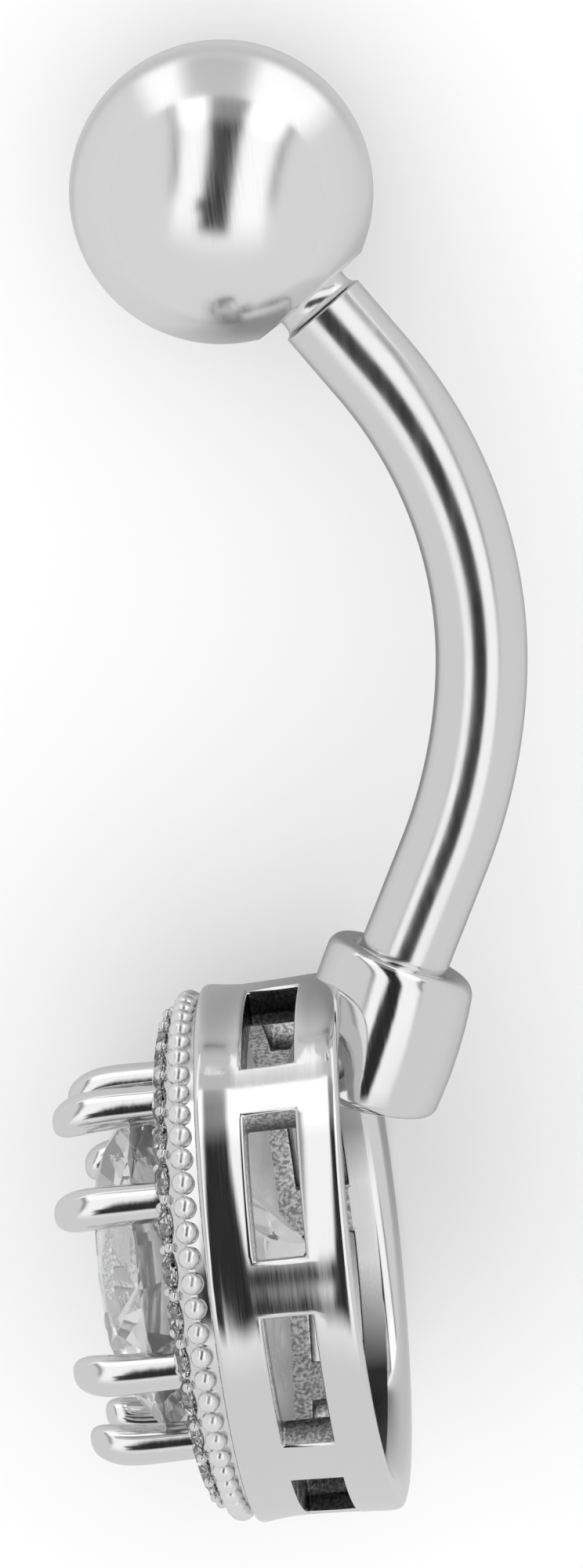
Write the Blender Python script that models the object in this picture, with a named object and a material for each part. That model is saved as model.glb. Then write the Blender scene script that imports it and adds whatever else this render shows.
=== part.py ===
"""A navel ring on its side: a screw-on ball, a curved bar, and a round halo head that holds one large stone.

Everything is modelled in the ring's own plane first. There X runs along the head's axis from the stone to the
open back, Y runs up the bar to the ball, and Z faces whoever looks at the ring from its side. One empty, the
lying pose, then turns all of it onto the head's wall and the ball, as the ring lies by itself.
"""

import math

import bmesh
import bpy
from mathutils import Matrix, Vector

MM = 0.001
TURN = 2 * math.pi
MERGE_WITHIN = 1e-4

for leftover in list(bpy.data.objects):
    bpy.data.objects.remove(leftover, do_unlink=True)

# Driving dimensions, in millimetres and degrees.
FIT_GAP = 0.03
BALL_DIAMETER = 5.1
BALL_FLAT_FROM_CENTRE = 2.29
BAR_DIAMETER = 1.54
BAR_TILT_AT_HEAD = 28.1
BAR_LOWER_STRAIGHT = 1.86
BAR_LOWER_RADIUS = 9.12
BAR_LOWER_BEND = 20.7
BAR_UPPER_RADIUS = 7.48
BAR_UPPER_BEND = 41.5
BAR_UPPER_STRAIGHT = 1.32
BAR_SEAT_DEPTH = 0.75
BAR_SIDES = 16
NECK_LENGTH = 0.3
POST_DIAMETER = 1.16
POST_LENGTH = 1.9
COLLAR_LIP = (1.06, 4.73)
COLLAR_DIAMETER = 2.6
COLLAR_LENGTH = 2.42
COLLAR_BOTTOM_RADIUS = 0.12
HEAD_DIAMETER = 9.16
HEAD_HEIGHT = 3.16
HEAD_SIDES = 64
WALL_THICKNESS = 0.7
RIM_ROUND = 0.12
FRONT_PLATE_THICKNESS = 0.58
FRONT_CORNER_HEIGHT = 0.75
HALO_OUTER_RADIUS = 4.22
HALO_INNER_RADIUS = 3.54
HALO_SLOPE_RISE = 0.17
STONE_HOLE_RADIUS = 2.56
WINDOW_COUNT = 8
WINDOW_SPAN = 32.5
WINDOW_FRONT = -1.6
WINDOW_BACK = -0.73
CLAW_PAIRS = 4
CLAW_FROM_PAIR_CENTRE = 18.5
BEAD_COUNT = 64
BEAD_RADIUS = 0.14
BEAD_CIRCLE = (4.41, -2.86)
HALO_STONE_COUNT = 32
HALO_STONE_DIAMETER = 0.62
CENTRE_STONE_DIAMETER = 5.92
CENTRE_GIRDLE_AT = -3.72

HEAD_RADIUS = HEAD_DIAMETER / 2
BALL_RADIUS = BALL_DIAMETER / 2
BAR_RADIUS = BAR_DIAMETER / 2


def metal(name, colour, roughness):
    """A polished metal."""
    material = bpy.data.materials.new(name)
    material.use_nodes = True
    shader = material.node_tree.nodes["Principled BSDF"]
    shader.inputs["Base Color"].default_value = (*colour, 1)
    shader.inputs["Metallic"].default_value = 1
    shader.inputs["Roughness"].default_value = roughness
    return material


def stone_material(name, colour):
    """A clear cut stone."""
    material = bpy.data.materials.new(name)
    material.use_nodes = True
    shader = material.node_tree.nodes["Principled BSDF"]
    shader.inputs["Base Color"].default_value = (*colour, 1)
    shader.inputs["Metallic"].default_value = 0
    shader.inputs["Roughness"].default_value = 0.02
    shader.inputs["IOR"].default_value = 2.16
    return material


def place(name, bm, material, parent, location=(0, 0, 0), rotation=(0, 0, 0)):
    """Makes a named object of a bmesh in millimetres, under its parent, at its place and turn."""
    mesh = bpy.data.meshes.new(name)
    bmesh.ops.recalc_face_normals(bm, faces=bm.faces)
    bmesh.ops.scale(bm, verts=bm.verts, vec=(MM, MM, MM))
    bm.to_mesh(mesh)
    bm.free()
    mesh.shade_smooth()
    mesh.set_sharp_from_angle(angle=math.radians(40))
    piece = bpy.data.objects.new(name, mesh)
    bpy.context.scene.collection.objects.link(piece)
    mesh.materials.append(material)
    piece.parent = parent
    piece.location = Vector(location) * MM
    piece.rotation_euler = rotation
    return piece


def empty(name, parent=None, location=(0, 0, 0), rotation=(0, 0, 0)):
    """An axis or a frame that pieces hang from."""
    guide = bpy.data.objects.new(name, None)
    bpy.context.scene.collection.objects.link(guide)
    guide.parent = parent
    guide.location = Vector(location) * MM
    guide.rotation_euler = rotation
    return guide


def helper(piece):
    """Keeps a cutter or a shape that is joined to another out of the render."""
    piece.hide_render = True
    piece.display_type = "WIRE"
    return piece


def boolean(target, operand, operation):
    """Joins one shape to a piece, or cuts one out of it."""
    modifier = target.modifiers.new(f"{operation.title()} {operand.name}", "BOOLEAN")
    modifier.operation = operation
    modifier.solver = "EXACT"
    modifier.object = operand


def turned(profile, steps, first_angle=0.0, closed=False):
    """Turns (radius, height) points, in millimetres, about Z. A closed profile makes a ring."""
    bm = bmesh.new()
    points = [bm.verts.new((radius, 0, height)) for radius, height in profile]
    lines = [bm.edges.new(pair) for pair in zip(points, points[1:])]
    if closed:
        lines.append(bm.edges.new((points[-1], points[0])))
    bmesh.ops.rotate(bm, verts=points, matrix=Matrix.Rotation(first_angle, 3, "Z"))
    bmesh.ops.spin(bm, geom=points + lines, axis=(0, 0, 1), angle=TURN, steps=steps)
    bmesh.ops.remove_doubles(bm, verts=bm.verts, dist=MERGE_WITHIN)
    return bm


def rounded(centre, radius, first, last, steps):
    """Points on an arc of a profile, from one angle to another in degrees."""
    for step in range(steps + 1):
        angle = math.radians(first + (last - first) * step / steps)
        yield centre[0] + radius * math.cos(angle), centre[1] + radius * math.sin(angle)


class Tube:
    """A round rod that is drawn out ring by ring in the plane of X and Y, starting along +Y."""

    def __init__(self, radius, sides, start):
        self.bm = bmesh.new()
        self.point = Vector((0, start, 0))
        self.heading = 0.0
        self.radius = radius
        frame = Matrix.Translation(self.point) @ Matrix.Rotation(math.radians(90), 4, "X")
        turned_half_a_side = Matrix.Rotation(math.pi / sides, 4, "Z")
        made = bmesh.ops.create_circle(
            self.bm, cap_ends=True, segments=sides, radius=radius, matrix=frame @ turned_half_a_side
        )
        self.ring = list({edge for vert in made["verts"] for edge in vert.link_edges})

    def forward(self):
        return Vector((-math.sin(self.heading), math.cos(self.heading), 0))

    def straight(self, length, radius=None):
        """Draws the rod on by a length, to a new radius if one is given."""
        made = bmesh.ops.extrude_edge_only(self.bm, edges=self.ring)["geom"]
        verts = [item for item in made if isinstance(item, bmesh.types.BMVert)]
        self.ring = [item for item in made if isinstance(item, bmesh.types.BMEdge)]
        self.point = self.point + self.forward() * length
        bmesh.ops.translate(self.bm, verts=verts, vec=self.forward() * length)
        if radius is not None:
            scale = radius / self.radius
            space = Matrix.Translation(-self.point)
            bmesh.ops.scale(self.bm, verts=verts, vec=(scale, scale, scale), space=space)
            self.radius = radius

    def bend(self, radius, degrees, steps):
        """Bends the rod to the left round a circle."""
        aside = Vector((-math.cos(self.heading), -math.sin(self.heading), 0))
        centre = self.point + aside * radius
        angle = math.radians(degrees)
        made = bmesh.ops.spin(
            self.bm, geom=self.ring, cent=centre, axis=(0, 0, 1), angle=angle, steps=steps
        )["geom_last"]
        self.ring = [item for item in made if isinstance(item, bmesh.types.BMEdge)]
        self.point = centre + Matrix.Rotation(angle, 3, "Z") @ (self.point - centre)
        self.heading += angle

    def close(self):
        """Caps the open end."""
        bmesh.ops.contextual_create(self.bm, geom=self.ring)
        return self.bm


def facet(bm, first, second, third):
    """Grinds off what lies outside the plane through three points."""
    normal = (second - first).cross(third - first).normalized()
    if normal.dot(first) < 0:
        normal = -normal
    everything = bm.verts[:] + bm.edges[:] + bm.faces[:]
    cut = bmesh.ops.bisect_plane(
        bm, geom=everything, dist=MERGE_WITHIN, plane_co=first, plane_no=normal, clear_outer=True
    )
    rim = [item for item in cut["geom_cut"] if isinstance(item, bmesh.types.BMEdge)]
    if rim:
        bmesh.ops.contextual_create(bm, geom=rim)


def cut_stone(diameter, girdle, crown, pavilion, table, brilliant):
    """A round stone in millimetres, table up, with its girdle's middle at the origin.

    Eight bezel and eight pavilion facets are ground one by one. A brilliant also has stars and girdle facets.
    """
    radius = diameter / 2
    sides = 16 if brilliant else 8
    top = girdle / 2 + crown
    blank = [(0, -pavilion - girdle), (radius, -pavilion - girdle), (radius, top), (0, top)]
    bm = turned(blank, sides, first_angle=0 if brilliant else math.pi / 8)

    def at(distance, degrees, height):
        angle = math.radians(degrees)
        return Vector((distance * math.cos(angle), distance * math.sin(angle), height))

    inner = radius * math.cos(math.pi / sides) if not brilliant else radius
    culet = -girdle / 2 - pavilion
    for step in range(8):
        mid = 45 * step
        for rim_height, tip_radius, tip_height in (
            (girdle / 2, radius * table, top),
            (-girdle / 2, 0, culet),
        ):
            rim_point = at(inner, mid, rim_height)
            beside = rim_point + at(radius, mid + 90, 0)
            facet(bm, rim_point, beside, at(tip_radius, mid, tip_height))
    if not brilliant:
        return bm
    ridge = math.cos(math.radians(22.5))
    star_radius = radius * (table + (1 - table) * 0.42)
    star_height = top - (star_radius * ridge - radius * table) * crown / (radius * (1 - table))
    lower_radius = radius * 0.24
    lower_height = culet + lower_radius * ridge * pavilion / radius
    for step in range(8):
        mid = 45 * step
        corner, next_corner = at(radius * table, mid, top), at(radius * table, mid + 45, top)
        star = at(star_radius, mid + 22.5, star_height)
        lower = at(lower_radius, mid + 22.5, lower_height)
        facet(bm, corner, next_corner, star)
        for side in (mid, mid + 45):
            facet(bm, star, at(radius, side, girdle / 2), at(radius, mid + 22.5, girdle / 2))
            facet(bm, lower, at(radius, side, -girdle / 2), at(radius, mid + 22.5, -girdle / 2))
    return bm


def sector(inner, outer, low, high, degrees, steps):
    """A block that follows an arc round Z, centred on +X, in millimetres and degrees."""
    bm = bmesh.new()
    corners = ((inner, low), (outer, low), (outer, high), (inner, high))
    points = [bm.verts.new((radius, 0, height)) for radius, height in corners]
    lines = [bm.edges.new(pair) for pair in zip(points, points[1:] + points[:1])]
    half_turn = Matrix.Rotation(math.radians(-degrees / 2), 3, "Z")
    bmesh.ops.rotate(bm, verts=points, matrix=half_turn)
    angle = math.radians(degrees)
    bmesh.ops.spin(bm, geom=points + lines, axis=(0, 0, 1), angle=angle, steps=steps)
    bmesh.ops.holes_fill(bm, edges=bm.edges, sides=4)
    return bm


def lofted(sections, sides):
    """A closed form through oval sections, each a (height, inner, outer, width) row in millimetres on +X."""
    bm = bmesh.new()
    ring = []
    for height, inner, outer, width in sections:
        centre, depth = (inner + outer) / 2, (outer - inner) / 2
        verts = []
        for side in range(sides):
            angle = TURN * (side + 0.5) / sides
            across = centre + depth * math.cos(angle)
            verts.append(bm.verts.new((across, width / 2 * math.sin(angle), height)))
        edges = [bm.edges.new(pair) for pair in zip(verts, verts[1:] + verts[:1])]
        if ring:
            bmesh.ops.bridge_loops(bm, edges=ring + edges)
        else:
            bm.faces.new(verts)
        ring = edges
    bm.faces.new(verts)
    return bm


def evenly(count):
    """Angles in degrees that share out a full turn, the first one half a step from +X."""
    return [360 * (step + 0.5) / count for step in range(count)]


def round_the_head(bm, angles):
    """Repeats a shape round Z at each of the angles, the copies kept in one mesh."""
    copy = bm.verts[:] + bm.edges[:] + bm.faces[:]
    for last, angle in zip([0, *angles], angles):
        if last:
            copy = bmesh.ops.duplicate(bm, geom=copy)["geom"]
        verts = [item for item in copy if isinstance(item, bmesh.types.BMVert)]
        turn = Matrix.Rotation(math.radians(angle - last), 3, "Z")
        bmesh.ops.rotate(bm, verts=verts, matrix=turn)
    return bm


# The frames. The head's own Z runs along its axis to the open back, and its X points up the bar.
head_flat_radius = HEAD_RADIUS * math.cos(math.pi / HEAD_SIDES)


def bar_end():
    """Where the bar's shoulder ends, and the way it points there, in the ring's plane."""
    heading = math.radians(-BAR_TILT_AT_HEAD)
    point = Vector(COLLAR_LIP)
    point += Vector((-math.sin(heading), math.cos(heading))) * BAR_LOWER_STRAIGHT
    for radius, bend in ((BAR_LOWER_RADIUS, BAR_LOWER_BEND), (BAR_UPPER_RADIUS, BAR_UPPER_BEND)):
        centre = point - Vector((math.cos(heading), math.sin(heading))) * radius
        heading += math.radians(bend)
        point = centre + Vector((math.cos(heading), math.sin(heading))) * radius
    point += Vector((-math.sin(heading), math.cos(heading))) * BAR_UPPER_STRAIGHT
    return point, heading


shoulder, thread_heading = bar_end()
thread_way = Vector((-math.sin(thread_heading), math.cos(thread_heading)))
ball_centre = shoulder + thread_way * (NECK_LENGTH + BALL_FLAT_FROM_CENTRE)
lying_tilt = math.asin((head_flat_radius - BALL_RADIUS) / ball_centre.y)

lying_pose = empty("lying_pose", rotation=(-lying_tilt, 0, 0))
head_turn = Matrix(((0, 0, 1), (1, 0, 0), (0, 1, 0))).to_euler()
head_axis = empty("head_axis", lying_pose, rotation=head_turn)
bar_axis = empty(
    "bar_axis", lying_pose, (*COLLAR_LIP, 0), (-math.pi / 2, 0, math.radians(-BAR_TILT_AT_HEAD))
)
thread_axis = empty("thread_axis", lying_pose, (*ball_centre, 0), (-math.pi / 2, 0, thread_heading))

steel = metal("polished steel", (0.80, 0.81, 0.82), 0.07)
plated = metal("bright plated setting metal", (0.83, 0.83, 0.84), 0.1)
clear_stone = stone_material("clear cut stone", (0.93, 0.95, 0.97))


# The ball: turned steel with a flat seat and a blind threaded hole for the post.
HOLE_RADIUS = POST_DIAMETER / 2 + FIT_GAP
HOLE_MOUTH_RADIUS = 0.72
HOLE_MOUTH_DEPTH = 0.1
HOLE_DEPTH = POST_LENGTH + 0.12

seat = -BALL_FLAT_FROM_CENTRE
seat_angle = math.degrees(math.asin(seat / BALL_RADIUS))
ball_profile = [
    (0, seat + HOLE_DEPTH),
    (HOLE_RADIUS, seat + HOLE_DEPTH),
    (HOLE_RADIUS, seat + HOLE_MOUTH_DEPTH),
    (HOLE_MOUTH_RADIUS, seat + HOLE_MOUTH_DEPTH),
    (HOLE_MOUTH_RADIUS, seat),
    *rounded((0, 0), BALL_RADIUS, seat_angle, 89.999, 12),
]
ball_profile[-1] = (0, BALL_RADIUS)
place("ball", turned(ball_profile, 24), steel, thread_axis)


# The curved bar: one rod, seated in the collar at one end. Its other end has a neck and a post for the ball.
SHOULDER_CHAMFER = 0.05
# length, radius at its end
NECK_ROUTE = ((0.05, 0.6), (0.13, 0.6), (0.1, 0.66), (0.11, 0.66), (0.02, POST_DIAMETER / 2))
POST_TIP_LENGTH = 0.15

rod = Tube(BAR_RADIUS, BAR_SIDES, -BAR_SEAT_DEPTH)
rod.straight(BAR_SEAT_DEPTH)
rod.straight(BAR_LOWER_STRAIGHT)
rod.bend(BAR_LOWER_RADIUS, BAR_LOWER_BEND, 6)
rod.bend(BAR_UPPER_RADIUS, BAR_UPPER_BEND, 12)
rod.straight(BAR_UPPER_STRAIGHT - SHOULDER_CHAMFER)
rod.straight(SHOULDER_CHAMFER, BAR_RADIUS - SHOULDER_CHAMFER)
for length, radius in NECK_ROUTE:
    rod.straight(length, radius)
neck_past_seat = sum(length for length, radius in NECK_ROUTE) - NECK_LENGTH
rod.straight(POST_LENGTH - neck_past_seat - POST_TIP_LENGTH)
rod.straight(POST_TIP_LENGTH, POST_DIAMETER / 2 - POST_TIP_LENGTH)
place(
    "curved_bar",
    rod.close(),
    steel,
    lying_pose,
    (*COLLAR_LIP, 0),
    (0, 0, math.radians(-BAR_TILT_AT_HEAD)),
)


# The setting: a cast cup, open at the back, with eight windows in its wall. Its front plate carries the halo
# of small stones, a row of beads round the edge, and eight claws. A collar for the bar is soldered on top.
inner_radius = HEAD_RADIUS - WALL_THICKNESS
front = -HEAD_HEIGHT
corner = front + FRONT_CORNER_HEIGHT
halo_edge = front + HALO_SLOPE_RISE
rounding = RIM_ROUND
front_corner = [
    (HALO_OUTER_RADIUS + (HEAD_RADIUS - HALO_OUTER_RADIUS) * x, corner + (corner - halo_edge) * y)
    for x, y in rounded((0, 0), 1, 0, -90, 3)
]
cup_profile = [
    *rounded((HEAD_RADIUS - rounding, -rounding), rounding, 90, 0, 2),
    *front_corner,
    (HALO_INNER_RADIUS, front),
    (STONE_HOLE_RADIUS, front),
    (STONE_HOLE_RADIUS, front + FRONT_PLATE_THICKNESS),
    (inner_radius, front + FRONT_PLATE_THICKNESS),
    *rounded((inner_radius + rounding, -rounding), rounding, 180, 90, 2),
]
facet_down = -math.pi / 2 + lying_tilt - math.pi / HEAD_SIDES
cup = turned(cup_profile, HEAD_SIDES, facet_down, closed=True)
setting = place("setting", cup, plated, head_axis)

# The claws stand in pairs, close over the stone's edge and end in round tips.
# height, inner radius, outer radius, width
CLAW_SECTIONS = (
    (-2.90, 2.87, 3.52, 0.72),
    (-3.70, 2.87, 3.53, 0.72),
    (-4.15, 2.86, 3.53, 0.72),
    (-4.52, 2.79, 3.51, 0.70),
    (-4.80, 2.76, 3.44, 0.60),
    (-4.97, 2.84, 3.33, 0.42),
    (-5.04, 2.97, 3.19, 0.20),
)
claw_angles = [
    pair_centre + side * CLAW_FROM_PAIR_CENTRE
    for pair_centre in evenly(CLAW_PAIRS)
    for side in (-1, 1)
]
claws = round_the_head(lofted(CLAW_SECTIONS, 8), claw_angles)
boolean(setting, helper(place("claw_form", claws, plated, head_axis)), "UNION")

# The beads stand on the rounded edge, two to each halo stone.
bead = bmesh.new()
bead_place = Matrix.Translation((BEAD_CIRCLE[0], 0, BEAD_CIRCLE[1]))
bead_lean = Matrix.Rotation(math.radians(45), 4, "Y")
bmesh.ops.create_uvsphere(
    bead, u_segments=6, v_segments=4, radius=BEAD_RADIUS, matrix=bead_place @ bead_lean
)
beads = round_the_head(bead, evenly(BEAD_COUNT))
boolean(setting, helper(place("bead_form", beads, plated, head_axis)), "UNION")

# The collar: a cup with a rounded lip, in which the bar's end is seated.
COLLAR_LIP_ROUND = (0.24, 0.26)
COLLAR_MOUTH_ROUND = 0.2
collar_radius = COLLAR_DIAMETER / 2
bore_radius = BAR_RADIUS + FIT_GAP
lip_radius = collar_radius - COLLAR_LIP_ROUND[0]
lip_outside = [
    (lip_radius + COLLAR_LIP_ROUND[0] * x, (y - 1) * COLLAR_LIP_ROUND[1])
    for x, y in rounded((0, 0), 1, 0, 90, 3)
]
lip_inside = [
    (lip_radius - (lip_radius - bore_radius) * x, (y - 1) * COLLAR_MOUTH_ROUND)
    for x, y in rounded((0, 0), 1, 90, 0, 2)
]
collar_profile = [
    (0, -COLLAR_LENGTH),
    (collar_radius - COLLAR_BOTTOM_RADIUS, -COLLAR_LENGTH),
    (collar_radius, -COLLAR_LENGTH + COLLAR_BOTTOM_RADIUS),
    *lip_outside,
    *lip_inside[1:],
    (bore_radius, -BAR_SEAT_DEPTH - FIT_GAP),
    (0, -BAR_SEAT_DEPTH - FIT_GAP),
]
collar = helper(place("collar_form", turned(collar_profile, 24), plated, bar_axis))
boolean(setting, collar, "UNION")

window = sector(
    inner_radius - 0.4, HEAD_RADIUS + 0.4, WINDOW_FRONT, WINDOW_BACK, WINDOW_SPAN, 4
)
windows = round_the_head(window, evenly(WINDOW_COUNT))
boolean(setting, helper(place("window_cutter", windows, plated, head_axis)), "DIFFERENCE")


# The large stone: a round brilliant, its girdle held in a notch in each claw.
GIRDLE = 0.12
CROWN = 0.77
PAVILION = 2.57
TABLE_SHARE = 0.55
TABLE_OUT = (math.pi, 0, 0)

centre_stone = cut_stone(CENTRE_STONE_DIAMETER, GIRDLE, CROWN, PAVILION, TABLE_SHARE, True)
place("center_stone", centre_stone, clear_stone, head_axis, (0, 0, CENTRE_GIRDLE_AT), TABLE_OUT)
room = cut_stone(
    CENTRE_STONE_DIAMETER + 2 * FIT_GAP, GIRDLE + 2 * FIT_GAP, CROWN, PAVILION + FIT_GAP, TABLE_SHARE, False
)
notch = helper(
    place("stone_room", room, plated, head_axis, (0, 0, CENTRE_GIRDLE_AT), TABLE_OUT)
)
boolean(setting, notch, "DIFFERENCE")


# The halo stones: small round stones, each in its own drilled seat that runs through the front plate.
HALO_CIRCLE = (HALO_INNER_RADIUS + HALO_OUTER_RADIUS) / 2
HALO_GIRDLE = 0.04
HALO_CROWN = 0.1
HALO_PAVILION = 0.27
HALO_TABLE_SHARE = 0.55
AZURE_RADIUS = 0.15

halo_tilt = math.atan2(HALO_SLOPE_RISE, HALO_OUTER_RADIUS - HALO_INNER_RADIUS)
halo_height = front + HALO_SLOPE_RISE / 2
seat_radius = HALO_STONE_DIAMETER / 2 + FIT_GAP
seat_profile = [
    (0, -1),
    (AZURE_RADIUS, -1),
    (AZURE_RADIUS, -HALO_PAVILION * (1 - AZURE_RADIUS / seat_radius) - FIT_GAP),
    (seat_radius, -HALO_GIRDLE / 2 - FIT_GAP),
    (seat_radius, 0.4),
    (0, 0.4),
]
drill = turned(seat_profile, 8, math.pi / 8)
lean = Matrix.Rotation(math.pi - halo_tilt, 4, "Y")
bmesh.ops.transform(
    drill, verts=drill.verts, matrix=Matrix.Translation((HALO_CIRCLE, 0, halo_height)) @ lean
)
drills = round_the_head(drill, evenly(HALO_STONE_COUNT))
boolean(setting, helper(place("seat_cutter", drills, plated, head_axis)), "DIFFERENCE")

halo_stone = cut_stone(
    HALO_STONE_DIAMETER, HALO_GIRDLE, HALO_CROWN, HALO_PAVILION, HALO_TABLE_SHARE, False
)
for number, degrees in enumerate(evenly(HALO_STONE_COUNT), 1):
    angle = math.radians(degrees)
    spot = (HALO_CIRCLE * math.cos(angle), HALO_CIRCLE * math.sin(angle), halo_height)
    turn = (Matrix.Rotation(angle, 3, "Z") @ lean.to_3x3()).to_euler()
    place(f"halo_stone_{number:02d}", halo_stone.copy(), clear_stone, head_axis, spot, turn)
halo_stone.free()


# The ring lies with the head's wall and the ball on the floor, over the middle of its own box.
bpy.context.view_layer.update()
graph = bpy.context.evaluated_depsgraph_get()
corners = [
    piece.evaluated_get(graph).matrix_world @ vert.co
    for piece in bpy.data.objects
    if piece.type == "MESH" and not piece.hide_render
    for vert in piece.evaluated_get(graph).data.vertices
]
lowest = [min(corner[axis] for corner in corners) for axis in range(3)]
highest = [max(corner[axis] for corner in corners) for axis in range(3)]
lying_pose.location = (
    -(lowest[0] + highest[0]) / 2,
    -(lowest[1] + highest[1]) / 2,
    -lowest[2],
)
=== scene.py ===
"""The looks of the navel ring: studio, ball, curved bar, head, collar, claws, beads, halo and large stone."""

import math

import bmesh
import bpy
from mathutils import Matrix, Vector


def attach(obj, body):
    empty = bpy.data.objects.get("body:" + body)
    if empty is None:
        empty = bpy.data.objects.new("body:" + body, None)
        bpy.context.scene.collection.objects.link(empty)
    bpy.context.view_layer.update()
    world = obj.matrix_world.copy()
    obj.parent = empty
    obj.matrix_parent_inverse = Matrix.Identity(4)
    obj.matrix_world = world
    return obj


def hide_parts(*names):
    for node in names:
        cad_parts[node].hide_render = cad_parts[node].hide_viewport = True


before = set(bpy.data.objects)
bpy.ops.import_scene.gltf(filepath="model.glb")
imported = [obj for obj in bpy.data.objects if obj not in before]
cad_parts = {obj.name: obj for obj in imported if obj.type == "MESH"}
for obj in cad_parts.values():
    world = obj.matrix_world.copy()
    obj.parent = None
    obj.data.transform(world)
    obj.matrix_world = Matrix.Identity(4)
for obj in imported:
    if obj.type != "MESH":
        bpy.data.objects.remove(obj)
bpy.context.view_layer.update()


# The studio. The ring lies on a plain pale table under a wide soft light. Rays that metal and stones mirror
# or bend see bright panels with a dark gap between them, and mirrored ones also see bright and dark cards on
# the table, a painted shadow round the spot below the ball and a painted shadow under the ring. The metal
# shows them as white fields, one black streak and a shaded lower edge.
MM = 0.001
VIEW_RIGHT = Vector((0.98946, -0.12651, -0.07047))
VIEW_UP = Vector((0.10601, 0.96429, -0.24271))
VIEW_BACK = Vector((0.09866, 0.23268, 0.96754))
# in metres
LOOK_AT = Vector((0.0001631, -0.0000765, 0.0037435))
CAMERA_DISTANCE = 0.3
FRAME_HEIGHT = 0.02634942
SENSOR_HEIGHT = 24
PANEL_TILT = math.radians(7)
# in degrees: aside from, to, upward from, to, soft edge aside, soft edge upward; then the light there
PANELS = (
    (-40, 43, -8, 128, 3, 18, 0.36),
    (-33, 36, -38, 128, 4, 22, 1.15),
    (-33, 36, 52, 128, 4, 8, 1.4),
    (-13.5, 12, 66, 128, 3, 7, 0.5),
    (-13.5, 10.5, 46, 74, 3, 8, 0.28),
    (-13, 9.0, -34, 54, 3, 7, 0.02),
    (-17, -8, -19.5, -8.5, 3, 4.5, 0.04),
)
LIGHT_PAST_PANELS = 0.76
SOFT_LIGHT = 1.2
TABLE_SIZE = 4
TABLE_HEIGHT = -0.00001
TABLE_SHADE = 0.9
MIRRORED_TABLE_SHADE = 0.64
# the spot below the ball, in millimetres
BALL_SPOT = (0.16, 9.9)
# from that spot: degrees turned from, to, millimetres apart from, to, soft edges of both; then the shade.
# The first row is a painted shadow round the ball, seen only in mirrors; the others are cards.
CARDS_AND_PAINTED_SHADOW = (
    (-112, 82, 3.7, 4.9, 14, 0.5, 0.53),
    (-34, -12, 5.4, 900, 5, 0.6, 1.0),
    (22, 62, 5.0, 900, 6, 0.6, 1.0),
    (-11, 20, 5.4, 900, 6, 0.8, 0.5),
)
# a painted shadow under the ring, oval and seen only in mirrors: its middle from the same spot, and what
# share of it each millimetre takes
PAINTED_SHADOW_MIDDLE = (1.5, -10)
PAINTED_SHADOW_SCALE = (0.2, 0.11)
PAINTED_SHADOW_EDGE = 0.75
PAINTED_SHADOW_SOFT = 0.35
PAINTED_SHADOW_SHADE = 0.3

camera_data = bpy.data.cameras.new("camera")
camera_data.sensor_fit = "VERTICAL"
camera_data.sensor_height = SENSOR_HEIGHT
camera_data.lens = SENSOR_HEIGHT * CAMERA_DISTANCE / FRAME_HEIGHT
camera_data.clip_start = 0.01
camera_data.clip_end = 20
camera = bpy.data.objects.new("camera", camera_data)
bpy.context.scene.collection.objects.link(camera)
turn = Matrix((VIEW_RIGHT, VIEW_UP, VIEW_BACK)).transposed().to_4x4()
camera.matrix_world = Matrix.Translation(LOOK_AT + VIEW_BACK * CAMERA_DISTANCE) @ turn
bpy.context.scene.camera = camera
bpy.context.scene.view_settings.view_transform = "Standard"


def arithmetic(tree, operation, first, second=None, third=None):
    """One step of arithmetic in a light or a material."""
    step = tree.nodes.new("ShaderNodeMath")
    step.operation = operation
    for socket, value in zip(step.inputs, (first, second, third)):
        if isinstance(value, (int, float)):
            socket.default_value = value
        elif value is not None:
            tree.links.new(value, socket)
    return step.outputs[0]


def band(tree, value, low, high, soft, easing):
    """1 where a value is between two limits and 0 outside them, with soft edges."""
    edges = []
    for limit, before, after in ((low, 0, 1), (high, 1, 0)):
        edge = tree.nodes.new("ShaderNodeMapRange")
        edge.interpolation_type = easing
        edge.inputs["From Min"].default_value = limit - soft
        edge.inputs["From Max"].default_value = limit + soft
        edge.inputs["To Min"].default_value = before
        edge.inputs["To Max"].default_value = after
        tree.links.new(value, edge.inputs["Value"])
        edges.append(edge.outputs[0])
    return arithmetic(tree, "MULTIPLY", *edges)


def lay_over(tree, mask, above, below):
    """One value where the mask is 1, and another where it is 0."""
    kept = arithmetic(tree, "MULTIPLY", arithmetic(tree, "SUBTRACT", 1, mask), below)
    return arithmetic(tree, "MULTIPLY_ADD", mask, above, kept)


def hypotenuse(tree, first, second):
    """How long a line is, from its two parts at right angles."""
    squares = [arithmetic(tree, "MULTIPLY", part, part) for part in (first, second)]
    return arithmetic(tree, "SQRT", arithmetic(tree, "ADD", *squares))


world = bpy.data.worlds.new("studio")
bpy.context.scene.world = world
world.use_nodes = True
sky = world.node_tree
sky.nodes.clear()
direction = sky.nodes.new("ShaderNodeTexCoord").outputs["Generated"]
along = []
for axis in (
    VIEW_RIGHT * math.cos(PANEL_TILT) - VIEW_UP * math.sin(PANEL_TILT),
    VIEW_UP * math.cos(PANEL_TILT) + VIEW_RIGHT * math.sin(PANEL_TILT),
    VIEW_BACK,
):
    product = sky.nodes.new("ShaderNodeVectorMath")
    product.operation = "DOT_PRODUCT"
    product.inputs[1].default_value = axis
    sky.links.new(direction, product.inputs[0])
    along.append(product.outputs["Value"])
aside = arithmetic(sky, "DEGREES", arithmetic(sky, "ARCSINE", along[0]))
upward = arithmetic(sky, "DEGREES", arithmetic(sky, "ARCTAN2", along[1], along[2]))
light = LIGHT_PAST_PANELS
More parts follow.
